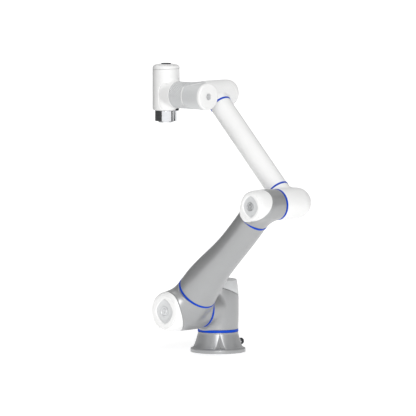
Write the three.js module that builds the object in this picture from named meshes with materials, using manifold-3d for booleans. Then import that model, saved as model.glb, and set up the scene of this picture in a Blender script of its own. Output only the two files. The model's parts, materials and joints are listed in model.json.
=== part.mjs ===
// A six-axis collaborative robot arm, in millimetres, +Z up.
// The origin is the centre of the base's underside, on the axis of joint 1.
// The arm's plane is XZ. Joints 2, 3 and 4 turn about axes along Y, and their modules lie side by side at
// different offsets towards -Y: "offset" below is a distance towards -Y from the axis of joint 1.
import * as THREE from 'three';
import { mergeVertices } from 'three/addons/utils/BufferGeometryUtils.js';
import Module from 'manifold-3d';

const wasm = await Module();
wasm.setup();

// ---------------------------------------------------------------- driving dimensions
const GAP = 0.3; // clearance between neighbouring pieces
const SEGMENTS = 28; // sides of a large round casting
const INNER = SEGMENTS / 2; // sides of a round piece inside a bore, so that its corners meet the bore's
const FINE = 16; // sides of a small round piece

const SHOULDER_HEIGHT = 176.5; // axis of joint 2 above the base
const UPPER_ARM = 607; // joint 2 to joint 3
const FOREARM = 568; // joint 3 to joint 4
const UPPER_ARM_PITCH = Math.PI / 4; // above the horizontal, leaning towards +X
const FOREARM_PITCH = Math.PI / 4; // above the horizontal, leaning towards -X
const ARM_OFFSET = 188; // mid-plane of the upper arm, and the axis of joint 5
const FOREARM_OFFSET = 54.5; // mid-plane of the forearm
const WRIST_LENGTH = 124; // joint 4's axis to joint 6's axis

const BASE = { flange: 107, flangeHeight: 16, neck: 78.5, height: 79.2, bore: 66, cavity: 72 };
// The bolt pockets are V grooves: "root" is where a groove's two walls meet, "spread" its half width per
// millimetre outwards, and "clocking" how far the bolt pattern is turned from the arm's zero.
const BOLT = { circle: 91, hole: 4.5, root: 78.6, spread: 1.25, clocking: (5 * Math.PI) / 180 };
const CONNECTOR = {
  height: 31, start: 62, body: 10.5, flange: 13, boss: 16, bossEnd: 99.5, end: 128,
  capRadius: 13, capStart: 122, capEnd: 133,
};
const J1_RING = { low: 79.5, high: 89.5, radius: 79 };
const SHOULDER = { radius: 80.5, top: 283, bore: 71, wall: 6 };
const J2_RING = { low: 94.8, high: 103.2, radius: 75, bore: 62 }; // offsets
const J2 = { face: 296, radius: 80.5, bore: 70, root: 79.5 };
const LOWER_RING = { centre: 104.5, width: 8, radius: 79.3, bore: 66 }; // distances from joint 2
const UPPER_RING = { centre: 71.3, width: 8, radius: 59.6, bore: 49 }; // distances from joint 3
const J3 = { face: 262, seam: 121, radius: 62.5, bore: 52 };
const J3_RING = { low: 112.7, high: 120.7, radius: 59.2 };
const ELBOW = { end: -42, seam: 112.4, radius: 61, bore: 49 };
const FOREARM_RING = { lower: 72.4, upper: 56, width: 6.5, radius: 43.2 };
const FOREARM_TUBE = { radius: 42.5, bore: 37 };
const J4 = { cap: 44, seam: -112.4, radius: 53, bore: 46 }; // along +Y
const WRIST = { radius: 52.5, bore: 46, seam: -60, cap: 95, face: 108, plug: 12.5, plugDepth: 2 };
const LIGHT_RING = { radius: 52.9 }; // joint 5's bright seam
const WRIST_STUB = { radius: 51, bore: 42 }; // joint 5's module, towards joint 4
const COVER = { start: 10, edge: -38, slope: 0.576, seam: 3 }; // joint 5's front cover
const J6 = { low: -62, parting: 97, top: 116.5 };
const BUTTON = { radius: 19, height: 3, hole: 19.6 };
const IO_SOCKET = { radius: 6.5, place: 60, low: -61.5, high: -53.2 }; // under joint 6's neck
const TOOL_FLANGE = {
  radius: 43.3, low: -104, step: 30, face: -109, pilot: 15.75, boltCircle: 25, bolt: 2.5,
};

// ---------------------------------------------------------------- finishes
const finish = (color, roughness, metalness) =>
  new THREE.MeshStandardMaterial({ color, roughness, metalness });
const GREY_SHELL = finish('#a4a6a8', 0.5, 0.1);
const LIGHT_SHELL = finish('#cfd1d2', 0.5, 0.05);
const WHITE_SHELL = finish('#f1f1f0', 0.42, 0.0);
const BLUE_RING = finish('#0a37b5', 0.4, 0.0);
const STEEL = finish('#b9bcc0', 0.25, 1.0);
const ALUMINIUM = finish('#9da1a6', 0.4, 0.9);
const COPPER = finish('#9a5a35', 0.45, 0.8);
const BOARD = finish('#1d5c37', 0.6, 0.1);
const DARK = finish('#2e3033', 0.55, 0.1);

// ---------------------------------------------------------------- shape helpers
// A solid from a closed three.js geometry.
function solid(geometry) {
  const bare = new THREE.BufferGeometry();
  bare.setAttribute('position', geometry.getAttribute('position'));
  if (geometry.index) bare.setIndex(geometry.index);
  const merged = mergeVertices(bare, 1e-3);
  const index = merged.index.array;
  const triangles = [];
  for (let i = 0; i < index.length; i += 3) {
    const [a, b, c] = [index[i], index[i + 1], index[i + 2]];
    if (a !== b && b !== c && c !== a) triangles.push(a, b, c);
  }
  const vertProperties = new Float32Array(merged.attributes.position.array);
  const triVerts = new Uint32Array(triangles);
  return new wasm.Manifold(new wasm.Mesh({ numProp: 3, vertProperties, triVerts }));
}

// The three.js geometry of a solid.
function geometryOf(manifold) {
  const mesh = manifold.getMesh();
  const position = new Float32Array(mesh.numVert * 3);
  for (let i = 0; i < mesh.numVert; i++) {
    position.set(mesh.vertProperties.subarray(i * mesh.numProp, i * mesh.numProp + 3), i * 3);
  }
  const geometry = new THREE.BufferGeometry();
  geometry.setAttribute('position', new THREE.BufferAttribute(position, 3));
  geometry.setIndex(new THREE.BufferAttribute(new Uint32Array(mesh.triVerts), 1));
  geometry.computeVertexNormals();
  return geometry;
}

// A profile of [radius, height] points turned about Z.
function turned(profile, segments = SEGMENTS) {
  const points = profile.map(([radius, height]) => new THREE.Vector2(radius, height));
  return new THREE.LatheGeometry(points, segments).rotateX(Math.PI / 2);
}

const discProfile = (radius, low, high) => [[0, low], [radius, low], [radius, high], [0, high]];
const ringProfile = (outer, inner, low, high) => [
  [inner, low], [outer, low], [outer, high], [inner, high], [inner, low],
];
const disc = (radius, low, high, segments) => turned(discProfile(radius, low, high), segments);
const ring = (outer, inner, low, high, segments) => turned(ringProfile(outer, inner, low, high), segments);

// A geometry turned about Z lies along the direction at this angle in the XY plane, at this height.
const lying = (geometry, angle, height = 0) =>
  geometry.rotateY(Math.PI / 2).rotateZ(angle).translate(0, 0, height);

// Everything above the slanted plane z = height + slope * (distance along the direction at this angle).
function above(height, slope, angle) {
  const reach = 700;
  const block = new THREE.BoxGeometry(reach, reach, reach).translate(0, 0, reach / 2);
  block.rotateY(-Math.atan(slope)).rotateZ(angle).translate(0, 0, height);
  return solid(block);
}

// A rounded rhombus, |x/w|^p + |y/h|^p = 1, extruded upwards.
function rhombus(halfWidth, halfHeight, low, high) {
  const power = 1.55;
  const steps = 40;
  const shape = new THREE.Shape();
  for (let i = 0; i < steps; i++) {
    const angle = (2 * Math.PI * i) / steps;
    const [c, s] = [Math.cos(angle), Math.sin(angle)];
    const scale = (Math.abs(c) ** power + Math.abs(s) ** power) ** (-1 / power);
    shape[i ? 'lineTo' : 'moveTo'](halfWidth * c * scale, halfHeight * s * scale);
  }
  shape.closePath();
  return new THREE.ExtrudeGeometry(shape, { depth: high - low, bevelEnabled: false }).translate(0, 0, low);
}

const arm = new THREE.Group();

// A frame for the pieces of one module.
function frame(position, rotation = [0, 0, 0]) {
  const group = new THREE.Group();
  group.position.set(...position);
  group.rotation.set(...rotation);
  arm.add(group);
  return group;
}

function add(group, name, shape, material) {
  const geometry = shape.isBufferGeometry ? geometryOf(solid(shape)) : geometryOf(shape);
  const mesh = new THREE.Mesh(geometry, material);
  mesh.name = name;
  group.add(mesh);
}

// ---------------------------------------------------------------- module frames
// Local x is X, local y is Z and local z is the offset, for the modules that face -Y.
const FACING_FRONT = [Math.PI / 2, 0, 0];
// Local z is +Y, local y is -Z.
const FACING_BACK = [-Math.PI / 2, 0, 0];
// Local z is +X, local x is -Z.
const FACING_RIGHT = [0, Math.PI / 2, 0];

const joint2At = [0, 0, SHOULDER_HEIGHT];
const joint3At = [
  UPPER_ARM * Math.cos(UPPER_ARM_PITCH), 0, SHOULDER_HEIGHT + UPPER_ARM * Math.sin(UPPER_ARM_PITCH),
];
const joint4At = [
  joint3At[0] - FOREARM * Math.cos(FOREARM_PITCH), 0, joint3At[2] + FOREARM * Math.sin(FOREARM_PITCH),
];
const joint5At = [joint4At[0], -ARM_OFFSET, joint4At[2]];
const joint6At = [joint4At[0] - WRIST_LENGTH, -ARM_OFFSET, joint4At[2]];

const baseFrame = frame([0, 0, 0]);
const joint2Frame = frame(joint2At, FACING_FRONT);
const joint3Frame = frame(joint3At, FACING_FRONT);
const joint4Frame = frame(joint4At, FACING_BACK);
const joint5Frame = frame(joint5At, FACING_RIGHT);
const joint6Frame = frame(joint6At);
const upperTubeFrame = frame([0, -ARM_OFFSET, SHOULDER_HEIGHT], [0, Math.PI / 2 - UPPER_ARM_PITCH, 0]);
const forearmFrame = frame(
  [joint3At[0], -FOREARM_OFFSET, joint3At[2]], [0, FOREARM_PITCH - Math.PI / 2, 0],
);

// ---------------------------------------------------------------- base
function baseHousing() {
  const outside = solid(turned([
    [0, 0], [BASE.flange - 1.5, 0], [BASE.flange, 1.5], [BASE.flange, BASE.flangeHeight - 3],
    [BASE.flange - 2.5, BASE.flangeHeight], [98.5, BASE.flangeHeight + 1], [93.5, 26], [90, 34], [86, 46],
    [82.6, 57.5], [79.8, 68], [BASE.neck + 0.2, 74], [BASE.neck, BASE.height], [0, BASE.height],
  ]));
  const boss = lying(disc(CONNECTOR.boss, 40, CONNECTOR.bossEnd, FINE), Math.PI / 2, CONNECTOR.height);
  const cavity = solid(turned([
    [0, -1], [BASE.cavity, -1], [BASE.cavity, 50], [BASE.bore, 56], [BASE.bore, BASE.height + 1],
    [0, BASE.height + 1],
  ]));
  const socket = solid(
    lying(disc(CONNECTOR.body + GAP, 30, CONNECTOR.bossEnd + 5, FINE), Math.PI / 2, CONNECTOR.height),
  );
  let housing = outside.add(solid(boss)).subtract(cavity).subtract(socket);

  const reach = 45; // beyond the flange's edge
  const pocket = new THREE.Shape();
  pocket.moveTo(BOLT.root, 0);
  pocket.lineTo(BOLT.root + reach, -reach * BOLT.spread);
  pocket.lineTo(BOLT.root + reach, reach * BOLT.spread);
  pocket.closePath();
  for (let i = 0; i < 4; i++) {
    const angle = Math.PI / 4 + BOLT.clocking + (i * Math.PI) / 2;
    const cut = new THREE.ExtrudeGeometry(pocket, { depth: BASE.height, bevelEnabled: false });
    cut.translate(0, 0, BASE.flangeHeight).rotateZ(angle);
    const hole = disc(BOLT.hole, -1, BASE.flangeHeight + 5, FINE).translate(BOLT.circle, 0, 0).rotateZ(angle);
    housing = housing.subtract(solid(cut)).subtract(solid(hole));
  }
  return housing;
}

add(baseFrame, 'base_housing', baseHousing(), GREY_SHELL);
add(baseFrame, 'base_plate', disc(BASE.cavity - GAP, 0, 4), ALUMINIUM);
add(baseFrame, 'base_seal_ring', ring(J1_RING.radius, BASE.bore + GAP, J1_RING.low, J1_RING.high), BLUE_RING);
add(baseFrame, 'j1_output_flange', ring(BASE.bore - GAP, 16, 58, J1_RING.high - GAP, INNER), STEEL);
add(baseFrame, 'base_connector', lying(turned([
  [0, CONNECTOR.start], [CONNECTOR.body, CONNECTOR.start], [CONNECTOR.body, CONNECTOR.bossEnd + GAP],
  [CONNECTOR.flange, CONNECTOR.bossEnd + GAP], [CONNECTOR.flange, CONNECTOR.bossEnd + 4],
  [CONNECTOR.body, CONNECTOR.bossEnd + 4], [CONNECTOR.body, CONNECTOR.end], [0, CONNECTOR.end],
], FINE), Math.PI / 2, CONNECTOR.height), STEEL);
add(baseFrame, 'connector_cap', lying(turned([
  [0, CONNECTOR.end + GAP], [CONNECTOR.body + GAP, CONNECTOR.end + GAP],
  [CONNECTOR.body + GAP, CONNECTOR.capStart],
  [CONNECTOR.capRadius, CONNECTOR.capStart], [CONNECTOR.capRadius, CONNECTOR.capEnd - 1],
  [CONNECTOR.capRadius - 1, CONNECTOR.capEnd], [0, CONNECTOR.capEnd],
], FINE), Math.PI / 2, CONNECTOR.height), DARK);

// ---------------------------------------------------------------- shoulder (turns on joint 1)
const shoulderFront = -Math.PI / 2; // the side that carries joint 2
const shoulderParting = { height: 239, slope: 0.387, angle: shoulderFront };
const shoulderOutside = solid(turned([
  [0, J1_RING.high + GAP], [79, J1_RING.high + GAP], [79.8, 120], [SHOULDER.radius, 150],
  [SHOULDER.radius, 205], [80, 225], [78.5, 245], [75.6, 265], [72.8, 280], [70, SHOULDER.top],
  [0, SHOULDER.top],
]));
const shoulderCavity = solid(turned([
  [0, J1_RING.high - 5], [SHOULDER.bore, J1_RING.high - 5], [SHOULDER.bore, 250],
  [62, SHOULDER.top - SHOULDER.wall],
  [0, SHOULDER.top - SHOULDER.wall],
]));
const sideStub = solid(
  lying(disc(J2_RING.radius - 0.5, 0, J2_RING.low - GAP), shoulderFront, SHOULDER_HEIGHT),
);
const sideBore = solid(lying(disc(J2_RING.bore, 0, J2_RING.low + 5), shoulderFront, SHOULDER_HEIGHT));

// The side of a slanted parting plane that the cap is on. A limit keeps the cap's rim whole where the plane
// would run out through its face.
function capSide({ height, slope, angle, limit }, shift = 0) {
  const slanted = above(height + shift, slope, angle);
  return limit ? slanted.add(above(limit + shift, 0, 0)) : slanted;
}

add(baseFrame, 'shoulder_housing', shoulderOutside.add(sideStub).subtract(shoulderCavity).subtract(sideBore)
  .subtract(capSide(shoulderParting)), GREY_SHELL);
add(baseFrame, 'shoulder_cap', shoulderOutside.subtract(shoulderCavity)
  .intersect(capSide(shoulderParting, 2 * GAP)), LIGHT_SHELL);
add(joint2Frame, 'j2_output_flange', ring(J2_RING.bore - GAP, 14, 80, J2_RING.high - GAP, INNER),
  STEEL);
add(joint2Frame, 'j2_seal_ring', ring(J2_RING.radius, J2_RING.bore + GAP, J2_RING.low, J2_RING.high),
  BLUE_RING);

// ---------------------------------------------------------------- upper arm (turns on joint 2)
const lowerRing = [LOWER_RING.centre - LOWER_RING.width / 2, LOWER_RING.centre + LOWER_RING.width / 2];
const upperRing = [
  UPPER_ARM - UPPER_RING.centre - UPPER_RING.width / 2,
  UPPER_ARM - UPPER_RING.centre + UPPER_RING.width / 2,
];

// A T-shaped casting and its cap: a body turned about Z, with a root that carries a tube.
function teeModule({ outside, cavity, root, rootBore, rootAngle, rootHeight, rootEnd, parting }) {
  const body = solid(turned(outside));
  const hollow = solid(turned(cavity));
  const rootSolid = solid(lying(turned(root), rootAngle, rootHeight));
  const rootHollow = solid(lying(disc(rootBore, 0, rootEnd + 5), rootAngle, rootHeight));
  const widest = Math.max(...root.map(([radius]) => radius)) + 2 * GAP;
  const rootRoom = solid(lying(disc(widest, 0, rootEnd + 5), rootAngle, rootHeight));
  const housing = body.add(rootSolid).subtract(hollow).subtract(rootHollow);
  const capRegion = capSide(parting, 2 * GAP).subtract(rootRoom);
  const rootCore = solid(lying(disc(widest - 2 * GAP, 0, rootEnd + 5), rootAngle, rootHeight));
  const housingCut = capSide(parting).subtract(rootCore);
  return { housing: housing.subtract(housingCut), cap: body.subtract(hollow).intersect(capRegion) };
}

// A cap's rhombic recess, the inlay that fills it and the plug in the inlay's middle.
const RECESS = { width: 47, height: 50, depth: 5, wall: 3.5, inlay: 1.8, plug: 19.5, plugHeight: 1.6 };
function dressCap(group, prefix, cap, face, scale) {
  const [width, height] = [RECESS.width * scale, RECESS.height * scale];
  const inset = RECESS.wall * scale;
  const floor = face - RECESS.depth;
  const recess = solid(rhombus(width, height, floor, face + 1));
  add(group, `${prefix}_cap`, cap.subtract(recess), WHITE_SHELL);
  const inlay = rhombus(width - inset, height - inset, floor + GAP, floor + GAP + RECESS.inlay);
  add(group, `${prefix}_cap_inlay`, inlay, LIGHT_SHELL);
  const low = floor + RECESS.inlay + 2 * GAP;
  const plug = disc(RECESS.plug * scale, low, low + RECESS.plugHeight, FINE);
  add(group, `${prefix}_cap_plug`, plug, ALUMINIUM);
}

const j2 = teeModule({
  outside: [
    [0, J2_RING.high + GAP], [74.5, J2_RING.high + GAP], [78, 117], [80, 145], [J2.radius, 190], [79.8, 234],
    [78.6, 259], [77, 274], [74.6, 284], [71, 291], [64.5, J2.face], [0, J2.face],
  ],
  cavity: [
    [0, J2_RING.high - 5], [J2.bore, J2_RING.high - 5], [J2.bore, 264], [54, 283], [0, 283],
  ],
  root: [
    [0, 0], [J2.root, 0], [J2.root, 85], [LOWER_RING.radius, lowerRing[0] - GAP], [0, lowerRing[0] - GAP],
  ],
  rootBore: LOWER_RING.bore,
  rootAngle: UPPER_ARM_PITCH,
  rootHeight: ARM_OFFSET,
  rootEnd: lowerRing[0],
  parting: { height: 247.5, slope: 0.547, angle: UPPER_ARM_PITCH, limit: 288 },
});
add(joint2Frame, 'j2_housing', j2.housing, GREY_SHELL);
dressCap(joint2Frame, 'j2', j2.cap, J2.face, 1);

add(upperTubeFrame, 'upper_arm_lower_ring', ring(LOWER_RING.radius, LOWER_RING.bore, ...lowerRing),
  BLUE_RING);
add(upperTubeFrame, 'upper_arm_tube', turned([
  [LOWER_RING.bore, lowerRing[1] + GAP], [79, lowerRing[1] + GAP], [76, 165], [69.5, 220], [64.5, 275],
  [61, 335], [59.3, 400], [59.3, upperRing[0] - GAP], [UPPER_RING.bore, upperRing[0] - GAP],
  [UPPER_RING.bore, 400], [51, 335], [54.5, 275], [60, 215], [65, 165], [LOWER_RING.bore, lowerRing[1] + GAP],
]), GREY_SHELL);
add(upperTubeFrame, 'upper_arm_upper_ring', ring(UPPER_RING.radius, UPPER_RING.bore, ...upperRing),
  BLUE_RING);

const j3RootAngle = UPPER_ARM_PITCH + Math.PI;
const j3RootEnd = UPPER_RING.centre - UPPER_RING.width / 2 - GAP;
const j3 = teeModule({
  outside: [
    [0, J3.seam], [59, J3.seam], [61.5, 150], [J3.radius, 195], [61, 232], [58, 249], [53, 258.5],
    [47.5, J3.face], [0, J3.face],
  ],
  cavity: [[0, J3.seam - 5], [J3.bore, J3.seam - 5], [J3.bore, 236], [40, 250], [0, 250]],
  root: [[0, 0], [60, 0], [UPPER_RING.radius, j3RootEnd], [0, j3RootEnd]],
  rootBore: UPPER_RING.bore,
  rootAngle: j3RootAngle,
  rootHeight: ARM_OFFSET,
  rootEnd: j3RootEnd,
  parting: { height: 235.5, slope: 0.68, angle: j3RootAngle, limit: 253 },
});
add(joint3Frame, 'j3_housing', j3.housing, GREY_SHELL);
dressCap(joint3Frame, 'j3', j3.cap, J3.face, 0.87);
add(joint3Frame, 'j3_seal_ring', ring(J3_RING.radius, ELBOW.bore + GAP, J3_RING.low, J3_RING.high),
  BLUE_RING);

// ---------------------------------------------------------------- forearm (turns on joint 3)
const elbowRootEnd = FOREARM_RING.lower - FOREARM_RING.width / 2 - GAP;
const elbowRoot = (radius, end) =>
  solid(lying(disc(radius, 0, end), Math.PI - FOREARM_PITCH, FOREARM_OFFSET));
const elbowOutside = solid(turned([
  [0, ELBOW.end], [22, ELBOW.end + 2.5], [38, ELBOW.end + 9], [50, ELBOW.end + 21], [57, ELBOW.end + 36],
  [60, ELBOW.end + 56], [ELBOW.radius, 60], [60, 90], [59.2, ELBOW.seam], [0, ELBOW.seam],
]));
const elbowCavity = solid(turned([
  [0, ELBOW.end + 8], [34, ELBOW.end + 16], [ELBOW.bore, ELBOW.end + 40], [ELBOW.bore, ELBOW.seam + 5],
  [0, ELBOW.seam + 5],
]));
add(joint3Frame, 'elbow_housing', elbowOutside.add(elbowRoot(FOREARM_RING.radius + 2, elbowRootEnd))
  .subtract(elbowCavity).subtract(elbowRoot(FOREARM_TUBE.bore, elbowRootEnd + 5)), WHITE_SHELL);
add(joint3Frame, 'j3_output_flange', ring(ELBOW.bore - GAP, 12, 88, J3_RING.high - GAP, INNER), STEEL);

const lowerForearmRing = [elbowRootEnd + GAP, elbowRootEnd + GAP + FOREARM_RING.width];
const upperForearmRing = [
  FOREARM - FOREARM_RING.upper - FOREARM_RING.width / 2,
  FOREARM - FOREARM_RING.upper + FOREARM_RING.width / 2,
];
const forearmRing = (span) => ring(FOREARM_RING.radius, FOREARM_TUBE.bore, ...span);
add(forearmFrame, 'forearm_lower_ring', forearmRing(lowerForearmRing), BLUE_RING);
add(forearmFrame, 'forearm_tube',
  ring(FOREARM_TUBE.radius, FOREARM_TUBE.bore, lowerForearmRing[1] + GAP, upperForearmRing[0] - GAP),
  WHITE_SHELL);
add(forearmFrame, 'forearm_upper_ring', forearmRing(upperForearmRing), BLUE_RING);

const j4RootEnd = FOREARM_RING.upper - FOREARM_RING.width / 2 - GAP;
const j4 = teeModule({
  outside: [
    [0, J4.seam], [51.5, J4.seam], [J4.radius, -90], [J4.radius, 10], [52, 30], [48.5, 38], [42, 42.5],
    [34, J4.cap], [0, J4.cap],
  ],
  cavity: [[0, J4.seam - 5], [J4.bore, J4.seam - 5], [J4.bore, 28], [34, 38], [0, 38]],
  root: [[0, 0], [FOREARM_RING.radius, 0], [FOREARM_RING.radius, j4RootEnd], [0, j4RootEnd]],
  rootBore: FOREARM_TUBE.bore,
  rootAngle: FOREARM_PITCH,
  rootHeight: -FOREARM_OFFSET,
  rootEnd: j4RootEnd,
  parting: { height: 8, slope: 0.35, angle: FOREARM_PITCH },
});
add(joint4Frame, 'j4_housing', j4.housing, WHITE_SHELL);
add(joint4Frame, 'j4_cap', j4.cap, WHITE_SHELL);

// ---------------------------------------------------------------- first wrist link (turns on joint 4)
const stubEnd = ARM_OFFSET + J4.seam - GAP * 2; // joint 5's axis to joint 4's seam
const towardsJ4 = Math.PI / 2;
const wristStub = (radius, low, high) => solid(lying(disc(radius, low, high), towardsJ4));
const wristCore = WRIST.bore + 2.6; // the shell left under the cover and the light ring
const bodyEnd = WRIST.cap - GAP;

// A block over the front of the wrist, from one place along it to another. Its back is the cover's outline:
// level at first, then slanting away from the front.
function frontRoom(from, to, clearance) {
  const back = (place) => COVER.edge - clearance + Math.max(place - COVER.start, 0) * COVER.slope;
  const outline = new THREE.Shape();
  outline.moveTo(from, -WRIST.radius - 10);
  outline.lineTo(from, back(from));
  if (from < COVER.start) outline.lineTo(COVER.start, back(COVER.start));
  outline.lineTo(to, back(to));
  outline.lineTo(to, -WRIST.radius - 10);
  outline.closePath();
  const width = 2 * WRIST.radius + 20;
  const block = new THREE.ExtrudeGeometry(outline, { depth: width, bevelEnabled: false });
  return solid(block.rotateY(-Math.PI / 2).translate(width / 2, 0, 0));
}

const seamRing = [COVER.start - COVER.seam, COVER.start + COVER.seam];
const shell = (radius, low, high) => solid(ring(radius, wristCore + GAP, low, high));
add(joint5Frame, 'j5_housing', solid(disc(WRIST.radius, WRIST.seam, bodyEnd))
  .add(wristStub(WRIST_STUB.radius, 0, stubEnd))
  .subtract(frontRoom(seamRing[0] - GAP, WRIST.cap + 10, 0))
  .add(solid(disc(wristCore, WRIST.seam, bodyEnd)))
  .subtract(solid(disc(WRIST.bore, WRIST.seam - 5, WRIST.cap + 5)))
  .subtract(wristStub(WRIST_STUB.bore, 0, stubEnd + 5)), LIGHT_SHELL);
add(joint5Frame, 'j5_light_ring', shell(LIGHT_RING.radius, ...seamRing)
  .intersect(frontRoom(...seamRing, 2 * GAP)), WHITE_SHELL);
add(joint5Frame, 'j5_cover', shell(WRIST.radius, seamRing[1] + GAP, bodyEnd)
  .intersect(frontRoom(seamRing[1], WRIST.cap + 10, 2 * GAP)), LIGHT_SHELL);
const plugSeat = WRIST.face - WRIST.plugDepth;
add(joint5Frame, 'j5_cap', solid(turned([
  [0, WRIST.cap], [WRIST.radius, WRIST.cap], [WRIST.radius, 102], [51, 106], [48, WRIST.face],
  [0, WRIST.face],
])).subtract(solid(disc(WRIST.plug + GAP, plugSeat, WRIST.face + 1, FINE))), WHITE_SHELL);
add(joint5Frame, 'j5_cap_plug', disc(WRIST.plug, plugSeat + GAP, WRIST.face - 0.5, FINE), ALUMINIUM);
add(joint5Frame, 'j4_output_flange',
  ring(WRIST_STUB.bore - GAP, 12, 48, stubEnd - GAP, INNER).rotateX(-Math.PI / 2), STEEL);

// ---------------------------------------------------------------- second wrist link (turns on joint 5)
const neckEnd = WRIST_LENGTH + WRIST.seam - GAP * 2; // joint 6's axis to joint 5's seam
const neck = (radius, low, high) => solid(lying(disc(radius, low, high), 0));
const j6Parting = { height: J6.parting, slope: 0.06, angle: 0 };
const j6Outside = solid(turned([
  [0, J6.low], [50, J6.low], [WRIST.radius, J6.low + 3], [WRIST.radius, 103], [52, 107], [50, 110.5],
  [47, 113], [42.5, 114.8], [35, J6.top - 0.6], [25, J6.top], [0, J6.top],
]));
const j6Cavity = solid(turned([
  [0, J6.low - 5], [WRIST.bore, J6.low - 5], [WRIST.bore, 102], [38, 111], [0, 111],
]));
add(joint6Frame, 'j6_housing', j6Outside.add(neck(WRIST.radius, 0, neckEnd)).subtract(j6Cavity)
  .subtract(neck(WRIST_STUB.bore, 0, neckEnd + 5)).subtract(capSide(j6Parting)), WHITE_SHELL);
add(joint6Frame, 'j6_cap', j6Outside.subtract(j6Cavity).intersect(capSide(j6Parting, 2 * GAP))
  .subtract(solid(disc(BUTTON.hole, 100, J6.top + 5, FINE))), WHITE_SHELL);
add(joint6Frame, 'teach_button', turned([
  [0, J6.top - 3], [BUTTON.radius, J6.top - 3], [BUTTON.radius, J6.top + BUTTON.height - 0.6],
  [BUTTON.radius - 0.8, J6.top + BUTTON.height], [0, J6.top + BUTTON.height],
], FINE), DARK);
const ioSocket = disc(IO_SOCKET.radius, IO_SOCKET.low, IO_SOCKET.high, FINE);
add(joint6Frame, 'tool_io_socket', ioSocket.translate(IO_SOCKET.place, 0, 0), DARK);
add(joint6Frame, 'j5_output_flange',
  lying(ring(WRIST_STUB.bore - GAP, 12, 48, neckEnd - GAP, INNER), 0), STEEL);

// ---------------------------------------------------------------- tool flange (turns on joint 6)
function toolFlange() {
  let flange = solid(turned([
    [0, J6.low - GAP], [TOOL_FLANGE.radius, J6.low - GAP], [TOOL_FLANGE.radius, TOOL_FLANGE.low + 1],
    [TOOL_FLANGE.radius - 1, TOOL_FLANGE.low], [TOOL_FLANGE.step, TOOL_FLANGE.low],
    [TOOL_FLANGE.step, TOOL_FLANGE.face], [TOOL_FLANGE.pilot, TOOL_FLANGE.face],
    [TOOL_FLANGE.pilot, TOOL_FLANGE.face + 6], [0, TOOL_FLANGE.face + 6],
  ].reverse()));
  for (let i = 0; i < 4; i++) {
    const angle = Math.PI / 4 + (i * Math.PI) / 2;
    const hole = disc(TOOL_FLANGE.bolt, TOOL_FLANGE.face - 1, TOOL_FLANGE.face + 12, 12);
    flange = flange.subtract(solid(hole.translate(TOOL_FLANGE.boltCircle, 0, 0).rotateZ(angle)));
  }
  return flange;
}
add(joint6Frame, 'tool_flange', toolFlange(), STEEL);

// ---------------------------------------------------------------- actuators
// Each module holds a strain-wave reducer next to its seam, then a frameless motor, then a drive board.
const actuators = [
  ['j1', baseFrame, SHOULDER.bore, [92, 128], [132, 196], [206, 209]],
  ['j2', joint2Frame, J2.bore, [106, 145], [150, 215], [226, 229]],
  ['j3', joint3Frame, J3.bore, [123, 155], [159, 205], [214, 217]],
  ['j4', joint4Frame, J4.bore, [-110, -84], [-80, -36], [-20, -17]],
  ['j5', joint5Frame, WRIST.bore, [-58, -32], [-28, 20], [45, 48]],
  ['j6', joint6Frame, WRIST.bore, [-60, -34], [-30, 20], [50, 53]],
];
for (const [joint, group, bore, reducer, motor, board] of actuators) {
  add(group, `${joint}_reducer`, ring(bore - GAP, 14, ...reducer, INNER), STEEL);
  add(group, `${joint}_motor`, ring(bore - GAP, 16, ...motor, INNER), COPPER);
  add(group, `${joint}_drive_board`, ring(bore - GAP, 16, ...board, INNER), BOARD);
}

export default arm;
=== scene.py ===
"""A six-axis collaborative robot arm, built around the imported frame.

The castings are modelled as smooth fields in millimetres: a field is negative inside the metal, and one net of
quads is laid on its zero surface. Rings, tubes and plugs are turned from rounded outlines.
"""
import json
import math

import bmesh
import bpy
import numpy as np
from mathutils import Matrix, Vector


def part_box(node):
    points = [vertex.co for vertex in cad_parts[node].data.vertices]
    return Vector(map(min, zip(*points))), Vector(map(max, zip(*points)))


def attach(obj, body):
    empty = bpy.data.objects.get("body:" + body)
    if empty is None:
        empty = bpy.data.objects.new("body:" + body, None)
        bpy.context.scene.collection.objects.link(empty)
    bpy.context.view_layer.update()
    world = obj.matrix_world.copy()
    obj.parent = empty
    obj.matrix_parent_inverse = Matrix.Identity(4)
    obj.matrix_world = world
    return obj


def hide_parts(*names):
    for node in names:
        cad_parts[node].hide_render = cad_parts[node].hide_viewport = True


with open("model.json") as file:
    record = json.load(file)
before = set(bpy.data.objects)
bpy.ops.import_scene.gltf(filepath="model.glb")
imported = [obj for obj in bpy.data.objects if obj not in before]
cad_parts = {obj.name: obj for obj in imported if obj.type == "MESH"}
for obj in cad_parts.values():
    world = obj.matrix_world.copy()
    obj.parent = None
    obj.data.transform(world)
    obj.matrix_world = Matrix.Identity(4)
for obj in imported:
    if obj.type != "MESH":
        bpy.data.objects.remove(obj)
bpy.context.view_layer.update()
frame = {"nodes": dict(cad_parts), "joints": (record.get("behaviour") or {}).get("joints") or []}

MM = 0.001
X, Y, Z = np.eye(3)
FRONT = -Y

# ------------------------------------------------------------------ places, from the frame
JOINT = {j["name"]: np.array(j["pos_m"]) / MM for j in frame["joints"] if "pos_m" in j}
J2 = JOINT["j2_shoulder_swing"]
J3 = JOINT["j3_elbow_swing"]
J4 = JOINT["j4_wrist_swing"]
J5 = JOINT["j5_wrist_roll"]
J6 = JOINT["j6_tool_spin"]


def span(node):
    """The lowest and highest corner of a CAD node, in millimetres."""
    low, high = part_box(node)
    return np.array(low) / MM, np.array(high) / MM


def around(*nodes):
    """The lowest and highest corner of several CAD nodes together, in millimetres."""
    corners = [span(node) for node in nodes]
    return np.min([low for low, _ in corners], 0), np.max([high for _, high in corners], 0)


def middle(node):
    low, high = span(node)
    return (low + high) / 2


def unit(vector):
    return vector / np.linalg.norm(vector)


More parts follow.
